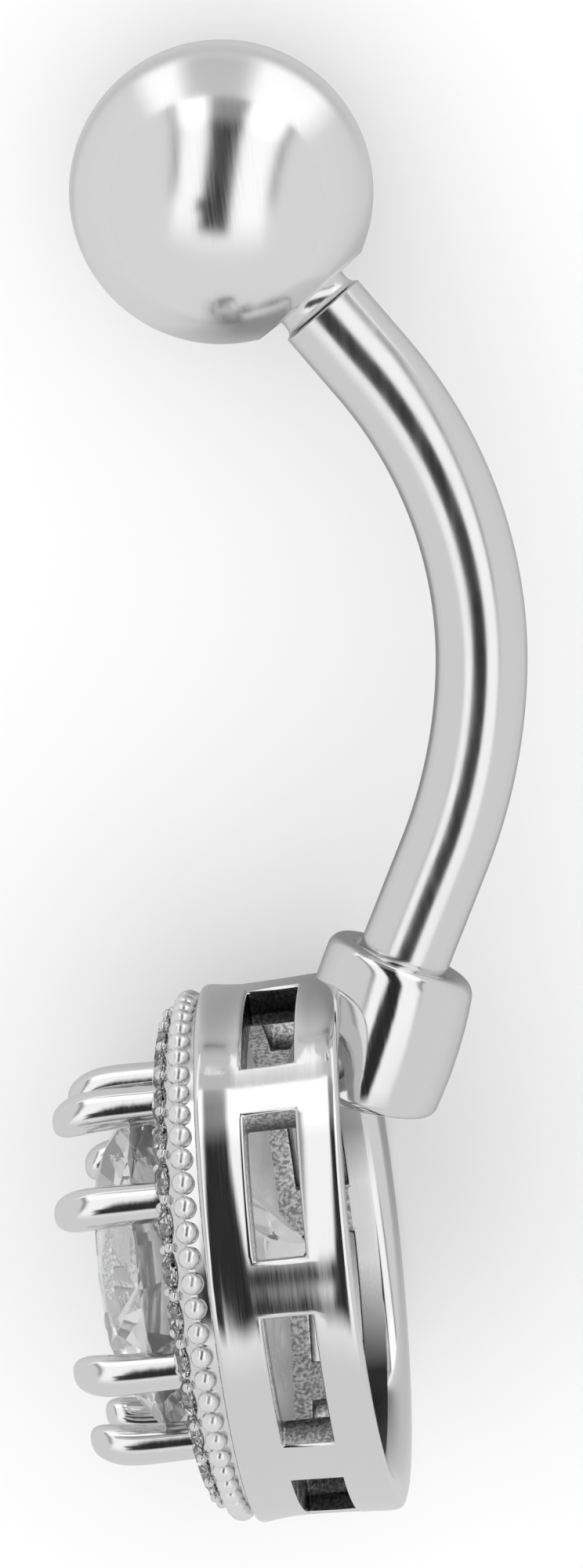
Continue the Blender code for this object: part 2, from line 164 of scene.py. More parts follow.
for left, right, low, high, soft_aside, soft_up, strength in PANELS:
    across_panel = band(sky, aside, left, right, soft_aside, "SMOOTHSTEP")
    up_panel = band(sky, upward, low, high, soft_up, "SMOOTHSTEP")
    light = lay_over(sky, arithmetic(sky, "MULTIPLY", across_panel, up_panel), strength, light)
rays = sky.nodes.new("ShaderNodeLightPath")
mirrored = arithmetic(sky, "MAXIMUM", rays.outputs["Is Glossy Ray"], rays.outputs["Is Transmission Ray"])
background = sky.nodes.new("ShaderNodeBackground")
background.inputs["Color"].default_value = (1, 1, 1, 1)
sky.links.new(lay_over(sky, mirrored, light, SOFT_LIGHT), background.inputs["Strength"])
sky_out = sky.nodes.new("ShaderNodeOutputWorld")
sky.links.new(background.outputs[0], sky_out.inputs["Surface"])

bpy.ops.object.select_all(action="DESELECT")
bpy.ops.mesh.primitive_plane_add(size=TABLE_SIZE, location=(0, 0, TABLE_HEIGHT))
table = bpy.context.object
table.name = "table"
table_top = bpy.data.materials.new("pale table")
table_top.use_nodes = True
table_tree = table_top.node_tree
table_shader = table_tree.nodes["Principled BSDF"]
table_shader.inputs["Base Color"].default_value = (TABLE_SHADE, TABLE_SHADE, TABLE_SHADE, 1)
table_shader.inputs["Roughness"].default_value = 0.9
table_shader.inputs["Specular IOR Level"].default_value = 0.1
table.data.materials.append(table_top)
on_table = table_tree.nodes.new("ShaderNodeSeparateXYZ")
table_tree.links.new(table_tree.nodes.new("ShaderNodeTexCoord").outputs["Object"], on_table.inputs[0])
east = arithmetic(table_tree, "MULTIPLY_ADD", on_table.outputs["X"], 1 / MM, -BALL_SPOT[0])
north = arithmetic(table_tree, "MULTIPLY_ADD", on_table.outputs["Y"], 1 / MM, -BALL_SPOT[1])
turned = arithmetic(table_tree, "DEGREES", arithmetic(table_tree, "ARCTAN2", east, north))
apart = hypotenuse(table_tree, east, north)
shade = MIRRORED_TABLE_SHADE
# the first of these patches is a painted shadow round the spot below the ball, seen only in mirrors; the rest
# are cards
for left, right, near, far, soft_turned, soft_apart, patch_shade in CARDS_AND_PAINTED_SHADOW:
    round_patch = band(table_tree, turned, left, right, soft_turned, "LINEAR")
    out_patch = band(table_tree, apart, near, far, soft_apart, "LINEAR")
    on_patch = arithmetic(table_tree, "MULTIPLY", round_patch, out_patch)
    shade = lay_over(table_tree, on_patch, patch_shade, shade)
# painted shadow under the ring: a darker oval on the table, seen only in mirrors
shadow_parts = [
    arithmetic(table_tree, "MULTIPLY_ADD", part, scale, -scale * middle)
    for part, scale, middle in zip((east, north), PAINTED_SHADOW_SCALE, PAINTED_SHADOW_MIDDLE)
]
in_painted_shadow = band(table_tree, hypotenuse(table_tree, *shadow_parts), -1, PAINTED_SHADOW_EDGE, PAINTED_SHADOW_SOFT, "LINEAR")
shade = lay_over(table_tree, in_painted_shadow, PAINTED_SHADOW_SHADE, shade)
in_mirror = table_tree.nodes.new("ShaderNodeLightPath").outputs["Is Glossy Ray"]
table_tree.links.new(
    lay_over(table_tree, in_mirror, shade, TABLE_SHADE), table_shader.inputs["Base Color"]
)


# The ball. It is turned from surgical steel with a small flat seat and a blind threaded hole, polished to a
# mirror, and it screws onto the end of the bar. Sizes here and below are in millimetres.
HEAD_CENTRE = Vector((0.644, -7.8698, 4.5745))
LYING_TILT = math.radians(6.499)
BALL_CENTRE = Vector((-0.4808, 17.8865, 0))
THREAD_HEADING = math.radians(34.1)
BALL_RADIUS = 2.55
SEAT_HEIGHT = -2.29
SEAT_EDGE = 0.02
HOLE_DEPTH = 2.0
HOLE_MOUTH = 0.75
THREAD_RADIUS = 0.58
THREAD_PITCH = 0.25
THREAD_TURNS = 7
GROOVE_DEPTH = 0.06
RIDGE_GAP = 0.02
# how fine the polish is: noise scales to the metre, the stretch of a wipe, and the ripple's height in metres
WIPE_SCALE = 900
WIPE_STRETCH = 6
RIPPLE_SCALE = 500
RIPPLE_HEIGHT = 0.00001

ring_frame = (
    Matrix.Scale(MM, 4)
    @ Matrix.Translation(HEAD_CENTRE)
    @ Matrix.Rotation(-LYING_TILT, 4, "X")
)
thread_frame = (
    ring_frame
    @ Matrix.Translation(BALL_CENTRE)
    @ Matrix.Rotation(THREAD_HEADING, 4, "Z")
    @ Matrix.Rotation(-math.pi / 2, 4, "X")
)


def own_place(material):
    """Where a point is on its piece."""
    return material.node_tree.nodes.new("ShaderNodeTexCoord").outputs["Object"]


def add_noise(material, scale, detail, stretch=(1, 1, 1)):
    """A noise pattern on the piece's own coordinates."""
    tree = material.node_tree
    mapping = tree.nodes.new("ShaderNodeMapping")
    mapping.inputs["Scale"].default_value = stretch
    noise = tree.nodes.new("ShaderNodeTexNoise")
    noise.inputs["Scale"].default_value = scale
    noise.inputs["Detail"].default_value = detail
    tree.links.new(own_place(material), mapping.inputs["Vector"])
    tree.links.new(mapping.outputs["Vector"], noise.inputs["Vector"])
    return noise.outputs["Fac"]


def add_range(material, value, low, high, first=0.3, last=0.7):
    """Spreads a pattern between two values."""
    spread = material.node_tree.nodes.new("ShaderNodeMapRange")
    spread.inputs["From Min"].default_value = first
    spread.inputs["From Max"].default_value = last
    spread.inputs["To Min"].default_value = low
    spread.inputs["To Max"].default_value = high
    material.node_tree.links.new(value, spread.inputs["Value"])
    return spread.outputs[0]


def add_bump(material, value, strength, distance):
    """Raises a pattern from the surface."""
    bump = material.node_tree.nodes.new("ShaderNodeBump")
    bump.inputs["Strength"].default_value = strength
    bump.inputs["Distance"].default_value = distance
    material.node_tree.links.new(value, bump.inputs["Height"])
    shader = material.node_tree.nodes["Principled BSDF"]
    material.node_tree.links.new(bump.outputs[0], shader.inputs["Normal"])


def polished(name, tone, smooth, dull, ripple, marks=(1, 1, 1)):
    """A mirror finish with faint wipe marks and a very slight ripple from the polishing wheel."""
    material = bpy.data.materials.new(name)
    material.use_nodes = True
    shader = material.node_tree.nodes["Principled BSDF"]
    shader.inputs["Base Color"].default_value = (tone, tone, tone, 1)
    shader.inputs["Metallic"].default_value = 1
    wipes = add_noise(material, WIPE_SCALE, 4, (WIPE_STRETCH * marks[0], marks[1], marks[2]))
    roughness = add_range(material, wipes, smooth, dull)
    material.node_tree.links.new(roughness, shader.inputs["Roughness"])
    add_bump(material, add_noise(material, RIPPLE_SCALE, 2, marks), ripple, RIPPLE_HEIGHT)
    return material


def turned_piece(name, profile, steps, closed=False):
    """Draws (radius, height) points by extrusion and spins them about Z, as on a lathe."""
    bpy.ops.object.select_all(action="DESELECT")
    bpy.ops.mesh.primitive_plane_add(size=0.2)
    piece = bpy.context.object
    piece.name = name
    bpy.ops.object.mode_set(mode="EDIT")
    bpy.ops.mesh.select_mode(type="VERT")
    bpy.ops.mesh.select_all(action="SELECT")
    bpy.ops.mesh.merge(type="CENTER")
    last = Vector((profile[0][0], 0, profile[0][1]))
    bpy.ops.transform.translate(value=last)
    for radius, height in profile[1:]:
        point = Vector((radius, 0, height))
        bpy.ops.mesh.extrude_region_move(TRANSFORM_OT_translate={"value": point - last})
        last = point
    if closed:
        bpy.ops.mesh.select_all(action="DESELECT")
        mesh = bmesh.from_edit_mesh(piece.data)
        for vert in mesh.verts:
            vert.select = len(vert.link_edges) == 1
        bmesh.update_edit_mesh(piece.data)
        bpy.ops.mesh.edge_face_add()
    bpy.ops.mesh.select_all(action="SELECT")
    bpy.ops.mesh.spin(steps=steps, angle=math.tau, center=(0, 0, 0), axis=(0, 0, 1))
    bpy.ops.mesh.select_all(action="SELECT")
    bpy.ops.mesh.remove_doubles(threshold=0.0005)
    bpy.ops.mesh.normals_make_consistent(inside=False)
    bpy.ops.object.mode_set(mode="OBJECT")
    return piece


def arc(centre, radii, first, last, steps):
    """Points on an arc of a profile, round or oval, from one angle to another in degrees."""
    angles = [math.radians(first + (last - first) * step / steps) for step in range(steps + 1)]
    return [
        (centre[0] + radii[0] * math.cos(angle), centre[1] + radii[1] * math.sin(angle))
        for angle in angles
    ]


def set_down(piece, place, material, body, smooth=40):
    """Puts a finished piece where it belongs on the ring, with its finish."""
    piece.data.transform(place)
    bpy.ops.object.select_all(action="DESELECT")
    piece.select_set(True)
    bpy.context.view_layer.objects.active = piece
    bpy.ops.object.shade_smooth_by_angle(angle=math.radians(smooth))
    piece.data.materials.clear()
    piece.data.materials.append(material)
    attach(piece, body)
    return piece


hole = [(0, SEAT_HEIGHT + HOLE_DEPTH), (THREAD_RADIUS, SEAT_HEIGHT + HOLE_DEPTH)]
for step in range(THREAD_TURNS):
    groove = SEAT_HEIGHT + HOLE_DEPTH - 0.15 - THREAD_PITCH * step
    ridge = groove - THREAD_PITCH / 2
    hole += [(THREAD_RADIUS + GROOVE_DEPTH, groove), (THREAD_RADIUS + RIDGE_GAP, ridge)]
hole += [
    (HOLE_MOUTH - 0.05, SEAT_HEIGHT + 0.12),
    (HOLE_MOUTH - 0.02, SEAT_HEIGHT + 0.01),
    (HOLE_MOUTH, SEAT_HEIGHT),
]
seat_angle = math.degrees(math.asin((SEAT_HEIGHT + SEAT_EDGE) / BALL_RADIUS))
seat_rim = BALL_RADIUS * math.cos(math.radians(seat_angle))
outside = [(seat_rim - 0.03, SEAT_HEIGHT), (seat_rim - 0.01, SEAT_HEIGHT + 0.006)]
outside += arc((0, 0), (BALL_RADIUS, BALL_RADIUS), seat_angle, 90, 64)
outside[-1] = (0, BALL_RADIUS)
steel = polished("mirror polished steel", 0.845, 0.14, 0.21, 0.16, (7, 1, 1))
ball = turned_piece("steel_ball", hole + outside, 128)
set_down(ball, thread_frame, steel, "ball", 30)
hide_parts("ball")


# The curved bar. One steel rod is bent in one plane, seated in the collar at its lower end, and turned down
# at its upper end to a short neck and the post that the ball screws onto.
BAR_START = Vector((1.06, 4.73, 0))
BAR_HEADING = math.radians(-28.1)
BAR_RADIUS = 0.77
# 2 is a round rod; a little more flattens it where the polishing wheel ran along it
ROD_FULLNESS = 2.2
BAR_SEAT = 0.74
BAR_STRAIGHT = 1.86
# radius of the bend, degrees, steps
BAR_BENDS = ((9.12, 20.7, 24), (7.48, 41.5, 48))
BAR_END_STRAIGHT = 1.29
# length, radius at its end
BAR_NECK = (
    (0.02, 0.757),
    (0.02, 0.725),
    (0.01, 0.705),
    (0.03, 0.682),
    (0.05, 0.664),
    (0.08, 0.655),
    (0.08, 0.66),
    (0.03, 0.67),
    (0.02, THREAD_RADIUS - 0.02),
)
THREAD_DEPTH = 0.08

bpy.ops.object.select_all(action="DESELECT")
bpy.ops.mesh.primitive_circle_add(vertices=64, radius=BAR_RADIUS, fill_type="NGON")
bar = bpy.context.object
bar.name = "curved_rod"
for vert in bar.data.vertices:
    reach = (abs(vert.co.x) ** ROD_FULLNESS + abs(vert.co.y) ** ROD_FULLNESS) ** (1 / ROD_FULLNESS)
    vert.co *= BAR_RADIUS / reach
bpy.ops.object.mode_set(mode="EDIT")
bpy.ops.mesh.select_all(action="SELECT")
heading = 0.0
radius_now = BAR_RADIUS
spot = Vector((0, -BAR_SEAT, 0))
bpy.ops.transform.rotate(value=math.pi / 2, orient_axis="X", center_override=(0, 0, 0))
bpy.ops.transform.translate(value=spot)


def draw_on(length, radius=None):
    """Draws the end of the rod on by a length, in or out to a radius."""
    global spot, radius_now
    way = Vector((-math.sin(heading), math.cos(heading), 0)) * length
    bpy.ops.mesh.extrude_region_move(TRANSFORM_OT_translate={"value": way})
    spot = spot + way
    if radius is not None:
        bpy.ops.transform.resize(value=(radius / radius_now,) * 3, center_override=spot)
        radius_now = radius


draw_on(BAR_SEAT)
draw_on(BAR_STRAIGHT)
for bend_radius, degrees, steps in BAR_BENDS:
    centre = spot + Vector((-math.cos(heading), -math.sin(heading), 0)) * bend_radius
    angle = math.radians(degrees)
    bpy.ops.mesh.spin(steps=steps, angle=angle, center=centre, axis=(0, 0, -1))
    spot = centre + Matrix.Rotation(angle, 3, "Z") @ (spot - centre)
    heading += angle
draw_on(BAR_END_STRAIGHT)
for step_length, radius in BAR_NECK:
    draw_on(step_length, radius)
for step in range(THREAD_TURNS):
    draw_on(THREAD_PITCH / 2, THREAD_RADIUS)
    draw_on(THREAD_PITCH / 2, THREAD_RADIUS - THREAD_DEPTH)
draw_on(0.08, THREAD_RADIUS - 2 * THREAD_DEPTH)
bpy.ops.mesh.select_all(action="SELECT")
bpy.ops.mesh.remove_doubles(threshold=0.0005)
bpy.ops.mesh.normals_make_consistent(inside=False)
bpy.ops.object.mode_set(mode="OBJECT")
bar_frame = ring_frame @ Matrix.Translation(BAR_START) @ Matrix.Rotation(BAR_HEADING, 4, "Z")
rod_steel = polished("polished steel rod", 0.765, 0.13, 0.2, 0.12)
set_down(bar, bar_frame, rod_steel, "jewel", 30)
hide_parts("curved_bar")


# The head's wall. It is a short tube cast in brass and plated, with a rounded back rim, a slight waist and
# eight windows sawn through it. Outside it is polished, inside its back rim it is satin with painted light
# and shade, and in the windows and in the bore behind them the cast skin is left, with painted light and
# shade in the windows.
INNER_RADIUS = 3.88
FRONT_EDGE = -2.42
WINDOW_COUNT = 8
WINDOW_PITCH = 360 / WINDOW_COUNT
WINDOW_HALF = 16.25
WINDOW_FRONT = -1.6
WINDOW_BACK = -0.73
WINDOW_MIDDLE = (WINDOW_BACK + WINDOW_FRONT) / 2
WINDOW_ROUNDING = 0.055
BRIGHT_BORE_BACK = -1.95
WALL_STEPS = 288
# faces this near to the bore belong to it
BORE_SLACK = 0.01
# faces within this radius and this near to the windows belong to them
WINDOW_SKIN_RADIUS = 4.44
WINDOW_SKIN_SLACK = 0.05
CAST_GRAIN_SCALE = 16000
CAST_PATCH_SCALE = 3000
# painted light and shade on the cast skin: two shades at two distances from the head's axis, darker inwards,
# and two at distances along Y, darker towards the top and bottom and lighter between
PAINTED_SHADE_INWARDS = (0.12, 1.0, 4.0 * MM, 4.45 * MM)
PAINTED_LIGHT_AND_SHADE_UP_DOWN = (1.3, 0.05, 3.9 * MM, 4.1 * MM)
# where along Y the satin's painted light and shade begin and end, in metres, and (place between the two,
# shade)
SATIN_PAINTED_LIGHT_HEIGHTS = (-11.5 * MM, -6 * MM)
SATIN_PAINTED_LIGHT_AND_SHADE = ((0.12, 0.015), (0.42, 1), (0.66, 1), (0.84, 0.4), (0.95, 0.5))

head_frame = ring_frame @ Matrix(((0, 0, 1, 0), (1, 0, 0, 0), (0, 1, 0, 0), (0, 0, 0, 1)))
to_head = head_frame.inverted()


def add_tones(material, value, stops):
    """Turns a value into shades of grey, given by (position, shade) stops."""
    ramp = material.node_tree.nodes.new("ShaderNodeValToRGB")
    ramp.name = "tones"
    points = ramp.color_ramp.elements
    for number, (position, shade) in enumerate(stops):
        point = points[number] if number < 2 else points.new(position)
        point.position = position
        point.color = (shade, shade, shade, 1)
    material.node_tree.links.new(value, ramp.inputs["Fac"])
    return ramp.outputs["Color"]


plated = polished("bright plated metal", 0.77, 0.06, 0.13, 0.2, (6, 1, 1))
bright_bore = polished("bright finish behind the stone", 0.95, 0.2, 0.32, 0.2)

satin_and_painted_light = polished("satin finish inside the back rim", 0.87, 0.25, 0.35, 0.2)
satin_tree = satin_and_painted_light.node_tree
satin_shader = satin_tree.nodes["Principled BSDF"]
satin_shader.inputs["Metallic"].default_value = 0.1
# painted light and shade: the satin's colour runs along Y from black through white to grey, standing in for
# the shade and the bright reflection inside the back rim
satin_at = satin_tree.nodes.new("ShaderNodeSeparateXYZ")
satin_tree.links.new(own_place(satin_and_painted_light), satin_at.inputs[0])
satin_height = add_range(satin_and_painted_light, satin_at.outputs["Y"], 0, 1, *SATIN_PAINTED_LIGHT_HEIGHTS)
satin_tree.links.new(add_tones(satin_and_painted_light, satin_height, SATIN_PAINTED_LIGHT_AND_SHADE), satin_shader.inputs["Base Color"])

cast = bpy.data.materials.new("cast skin with painted light and shade inside the head")
cast.use_nodes = True
cast_tree = cast.node_tree
cast_shader = cast_tree.nodes["Principled BSDF"]
cast_shader.inputs["Metallic"].default_value = 1
cast_grain = add_noise(cast, CAST_GRAIN_SCALE, 6)
cast_tone = add_tones(cast, cast_grain, ((0.38, 0.36), (0.6, 0.97)))

cast_bore = cast.copy()
cast_bore.name = "cast skin in the head's bore"
bore_nodes = cast_bore.node_tree.nodes
cast_bore.node_tree.links.new(
    bore_nodes["tones"].outputs["Color"], bore_nodes["Principled BSDF"].inputs["Base Color"]
)

# painted light and shade in the windows: the cast skin's colour darkens from the outer face in towards the
# bore, goes almost black at the top and bottom of the head, and is painted a little lighter in the windows
# between
from_axis = cast_tree.nodes.new("ShaderNodeVectorMath")
from_axis.operation = "SUBTRACT"
from_axis.inputs[1].default_value = HEAD_CENTRE * MM
cast_tree.links.new(own_place(cast), from_axis.inputs[0])
across_axis = cast_tree.nodes.new("ShaderNodeVectorMath")
across_axis.operation = "MULTIPLY"
across_axis.inputs[1].default_value = (0, 1, 1)
cast_tree.links.new(from_axis.outputs[0], across_axis.inputs[0])
cast_reach = cast_tree.nodes.new("ShaderNodeVectorMath")
cast_reach.operation = "LENGTH"
cast_tree.links.new(across_axis.outputs[0], cast_reach.inputs[0])
cast_height = cast_tree.nodes.new("ShaderNodeSeparateXYZ")
cast_tree.links.new(across_axis.outputs[0], cast_height.inputs[0])
cast_end = arithmetic(cast_tree, "ABSOLUTE", cast_height.outputs["Y"])
painted_light_and_shade = arithmetic(
    cast_tree,
    "MULTIPLY",
    add_range(cast, cast_reach.outputs["Value"], *PAINTED_SHADE_INWARDS),
    add_range(cast, cast_end, *PAINTED_LIGHT_AND_SHADE_UP_DOWN),
)
painted_light_mix = cast_tree.nodes.new("ShaderNodeMix")
painted_light_mix.data_type = "RGBA"
painted_light_mix.blend_type = "MULTIPLY"
painted_light_mix.inputs["Factor"].default_value = 1
cast_tree.links.new(cast_tone, painted_light_mix.inputs["A"])
cast_tree.links.new(painted_light_and_shade, painted_light_mix.inputs["B"])
cast_tree.links.new(painted_light_mix.outputs["Result"], cast_shader.inputs["Base Color"])
cast_rough = add_range(cast, add_noise(cast, CAST_PATCH_SCALE, 3), 0.15, 0.45)
cast_tree.links.new(cast_rough, cast_shader.inputs["Roughness"])
add_bump(cast, cast_grain, 0.7, 0.00003)


def edit(piece):
    """Opens one piece for modelling, with nothing selected in it."""
    bpy.ops.object.select_all(action="DESELECT")
    piece.select_set(True)
    bpy.context.view_layer.objects.active = piece
    bpy.ops.object.mode_set(mode="EDIT")
    bpy.ops.mesh.select_all(action="DESELECT")


def pick(piece, kind, test):
    """Selects the faces or edges that pass a test on their middle and on themselves."""
    mesh = bmesh.from_edit_mesh(piece.data)
    bpy.ops.mesh.select_mode(type=kind)
    bpy.ops.mesh.select_all(action="DESELECT")
    for item in mesh.faces if kind == "FACE" else mesh.edges:
        points = [vert.co for vert in item.verts]
        if test(sum(points, Vector()) / len(points), item):
            item.select = True
    mesh.select_flush_mode()
    bmesh.update_edit_mesh(piece.data)


def beside_window(point, number):
    """How many degrees a point lies to the side of a window's middle."""
    degrees = math.degrees(math.atan2(point.y, point.x)) % 360
    return abs(degrees - WINDOW_PITCH * (number + 0.5))


def in_window(point):
    """Whether a point of the wall faces one of the windows."""
    nearest = min(beside_window(point, number) for number in range(WINDOW_COUNT))
    return WINDOW_FRONT < point.z < WINDOW_BACK and nearest < WINDOW_HALF


# radius, height: the back rim, the band with the windows, the flared front band, the front edge and the bore
wall_profile = [
    (4.44, 0),
    (4.5, -0.005),
    (4.54, -0.02),
    (4.562, -0.05),
    (4.573, -0.1),
    (4.578, -0.17),
    (4.577, -0.25),
    (4.571, -0.36),
    (4.561, -0.5),
    (4.549, WINDOW_BACK),
    (4.53, WINDOW_MIDDLE),
    (4.511, WINDOW_FRONT),
    (4.508, WINDOW_FRONT - 0.1),
    (4.504, -1.8),
    (4.514, -1.92),
    (4.528, -2.06),
    (4.545, -2.2),
    (4.56, -2.31),
    (4.556, -2.36),
    (4.54, -2.4),
    (4.5, FRONT_EDGE),
    (4.38, FRONT_EDGE - 0.02),
    (INNER_RADIUS, FRONT_EDGE - 0.02),
    (INNER_RADIUS, BRIGHT_BORE_BACK),
    (INNER_RADIUS, WINDOW_FRONT),
    (INNER_RADIUS, WINDOW_MIDDLE),
    (INNER_RADIUS, WINDOW_BACK),
    (INNER_RADIUS, -0.5),
    *arc((INNER_RADIUS + 0.36, -0.4), (0.36, 0.4), 180, 100, 8),
]
wall = turned_piece("head_wall", wall_profile, WALL_STEPS, closed=True)
edit(wall)
pick(wall, "FACE", lambda middle, face: in_window(middle))
bpy.ops.mesh.delete(type="FACE")
for number in range(WINDOW_COUNT):
    pick(
        wall,
        "EDGE",
        lambda middle, edge: edge.is_boundary and beside_window(middle, number) < WINDOW_HALF + 0.5,
    )
    bpy.ops.mesh.bridge_edge_loops()
bpy.ops.mesh.select_all(action="SELECT")
bpy.ops.mesh.normals_make_consistent(inside=False)
bpy.ops.object.mode_set(mode="OBJECT")
rounding = wall.modifiers.new("rounded window edges", "BEVEL")
rounding.width = WINDOW_ROUNDING
rounding.segments = 3
rounding.limit_method = "ANGLE"
rounding.angle_limit = math.radians(60)
bpy.ops.object.modifier_apply(modifier=rounding.name)
set_down(wall, head_frame, plated, "jewel", 35)
wall_finishes = [plated, cast, satin_and_painted_light, bright_bore, cast_bore]
for finish in wall_finishes[1:]:
    wall.data.materials.append(finish)
for face in wall.data.polygons:
    middle = to_head @ face.center
    reach = math.hypot(middle.x, middle.y)
    in_bore = reach < INNER_RADIUS + BORE_SLACK
    by_window = WINDOW_FRONT - WINDOW_SKIN_SLACK < middle.z < WINDOW_BACK + WINDOW_SKIN_SLACK
    finish = plated
    if in_bore and middle.z > WINDOW_BACK:
        finish = satin_and_painted_light
    elif in_bore and middle.z < BRIGHT_BORE_BACK:
        finish = bright_bore
    elif in_bore:
        finish = cast_bore
    elif reach < WINDOW_SKIN_RADIUS and by_window:
        finish = cast
    face.material_index = wall_finishes.index(finish)
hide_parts("setting")


# The front plate. It is cast in one with the wall and closes the front of the head round the large stone's
# hole. It slopes a little outwards, and a seat is drilled in it for each small stone.
PLATE_FRONT = -3.16
PLATE_STEPS = 192
# behind this height and within this radius the plate keeps its cast skin
PLATE_SKIN_FRONT = -2.95
PLATE_SKIN_RADIUS = 4.1
HALO_RADIUS = 3.88
HALO_TILT = math.atan2(0.17, 0.68)
HALO_HEIGHT = PLATE_FRONT + 0.085
HALO_COUNT = 32
# radius, height of the drill's outline, from its tip in the plate to its back
DRILL = [(0, -1), (0.16, -1), (0.16, -0.2), (0.335, -0.03), (0.335, 0.5), (0, 0.5)]


def even_turns(count, first=0.5):
    """Angles in degrees for a number of like things round the head, from a share of the first step on."""
    return [360 * (number + first) / count for number in range(count)]


def join(pieces):
    """Joins pieces into the first of them."""
    bpy.ops.object.select_all(action="DESELECT")
    for piece in pieces:
        piece.select_set(True)
    bpy.context.view_layer.objects.active = pieces[0]
    bpy.ops.object.join()
    return pieces[0]


def round_the_head(piece, turns):
    """Copies a form to each angle round the head's axis and joins the copies into one mesh."""
    copies = []
    for angle in turns:
        copy = piece.copy()
        copy.data = piece.data.copy()
        copy.data.transform(Matrix.Rotation(math.radians(angle), 4, "Z"))
        bpy.context.scene.collection.objects.link(copy)
        copies.append(copy)
    name = piece.name
    bpy.data.objects.remove(piece)
    joined = join(copies)
    joined.name = name
    return joined


plate_profile = [
    (4.3, -2.4),
    *arc((4.06, -2.62), (0.24, 0.36), 0, -80, 6),
    (3.54, PLATE_FRONT),
    (2.98, PLATE_FRONT),
    (2.8, PLATE_FRONT + 0.08),
    (2.56, PLATE_FRONT + 0.3),
    (2.56, -2.6),
    (3.9, -2.56),
    (3.9, -2.4),
]
plate = turned_piece("front_plate", plate_profile, PLATE_STEPS, closed=True)
halo_seat = (
    Matrix.Translation((HALO_RADIUS, 0, HALO_HEIGHT)) @ Matrix.Rotation(math.pi - HALO_TILT, 4, "Y")
)
drill = turned_piece("drill", DRILL, 24)
drill.data.transform(halo_seat)
drills = round_the_head(drill, even_turns(HALO_COUNT))
cut = plate.modifiers.new("seats", "BOOLEAN")
cut.operation = "DIFFERENCE"
cut.solver = "EXACT"
cut.object = drills
cut.use_self = True
bpy.ops.object.select_all(action="DESELECT")
plate.select_set(True)
bpy.context.view_layer.objects.active = plate
bpy.ops.object.modifier_apply(modifier=cut.name)
bpy.data.objects.remove(drills)
set_down(plate, head_frame, plated, "jewel", 30)
plate.data.materials.append(cast_bore)
for face in plate.data.polygons:
    middle = to_head @ face.center
    if middle.z > PLATE_SKIN_FRONT and math.hypot(middle.x, middle.y) < PLATE_SKIN_RADIUS:
        face.material_index = 1
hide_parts("setting")


# The beads. A row of small half-round beads is cast on the outer edge of the front plate, two to each small
# stone, and plated with it.
BEAD_RING = (4.31, -2.69)
BEAD_SIZE = (0.2, 0.2, 0.19)
BEAD_TURN = math.radians(40)

bpy.ops.object.select_all(action="DESELECT")
bpy.ops.mesh.primitive_uv_sphere_add(segments=16, ring_count=10, radius=1)
bead = bpy.context.object
bead.name = "edge_beads"
bead.data.transform(
    Matrix.Translation((BEAD_RING[0], 0, BEAD_RING[1]))
    @ Matrix.Rotation(BEAD_TURN, 4, "Y")
    @ Matrix.Diagonal((*BEAD_SIZE, 1))
)
beads = round_the_head(bead, even_turns(2 * HALO_COUNT))
bead_metal = polished("plated beads", 0.85, 0.2, 0.32, 0.3)
set_down(beads, head_frame, bead_metal, "jewel", 60)
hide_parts("setting")


# The halo's grains. Between every two small stones a pair of little metal grains is raised from the plate and
# pushed over the edges of both.
GRAIN_RADIUS = 0.09
# distance from the head's axis, height
GRAIN_SPOTS = ((4.17, -3.03), (3.6, -3.17))

grain_pair = []
for across, height in GRAIN_SPOTS:
    bpy.ops.object.select_all(action="DESELECT")
    bpy.ops.mesh.primitive_uv_sphere_add(segments=12, ring_count=8, radius=GRAIN_RADIUS)
    bpy.context.object.data.transform(Matrix.Translation((across, 0, height)))
    grain_pair.append(bpy.context.object)
grain = join(grain_pair)
grain.name = "halo_grains"
grains = round_the_head(grain, even_turns(HALO_COUNT, 0))
set_down(grains, head_frame, plated, "jewel", 60)
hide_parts("setting")


# The claws. Four pairs of round plated wires stand up from the plate. They widen a little towards their tips,
# which are bent in and rounded over the large stone's edge.
CLAW_SPREAD = 18.5
# height, centre radius, half depth, half width
CLAW_RINGS = (
    (-2.8, 3.2, 0.318, 0.33),
    (-3.3, 3.2, 0.329, 0.341),
    (-3.8, 3.2, 0.341, 0.353),
    (-4.2, 3.198, 0.352, 0.364),
    (-4.5, 3.17, 0.355, 0.367),
    (-4.74, 3.11, 0.335, 0.345),
    (-4.9, 3.06, 0.28, 0.28),
    (-4.99, 3.03, 0.2, 0.2),
    (-5.035, 3.01, 0.1, 0.1),
)

height, across, depth, width = CLAW_RINGS[0]
bpy.ops.object.select_all(action="DESELECT")
bpy.ops.mesh.primitive_circle_add(vertices=20, radius=1, fill_type="NGON")
claw = bpy.context.object
claw.name = "claws"
bpy.ops.object.mode_set(mode="EDIT")
bpy.ops.mesh.select_all(action="SELECT")
bpy.ops.transform.resize(value=(depth, width, 1), center_override=(0, 0, 0))
bpy.ops.transform.translate(value=(across, 0, height))
for next_height, next_across, next_depth, next_width in CLAW_RINGS[1:]:
    bpy.ops.mesh.extrude_region_move(
        TRANSFORM_OT_translate={"value": (next_across - across, 0, next_height - height)}
    )
    bpy.ops.transform.resize(
        value=(next_depth / depth, next_width / width, 1), center_override=(next_across, 0, next_height)
    )
    height, across, depth, width = next_height, next_across, next_depth, next_width
bpy.ops.mesh.select_all(action="SELECT")
bpy.ops.mesh.normals_make_consistent(inside=False)
bpy.ops.object.mode_set(mode="OBJECT")
softening = claw.modifiers.new("softened", "SUBSURF")
softening.levels = softening.render_levels = 2
bpy.ops.object.modifier_apply(modifier=softening.name)
claw_turns = [middle + side * CLAW_SPREAD for middle in even_turns(4) for side in (-1, 1)]
claws = round_the_head(claw, claw_turns)
set_down(claws, head_frame, plated, "jewel", 60)
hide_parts("setting")


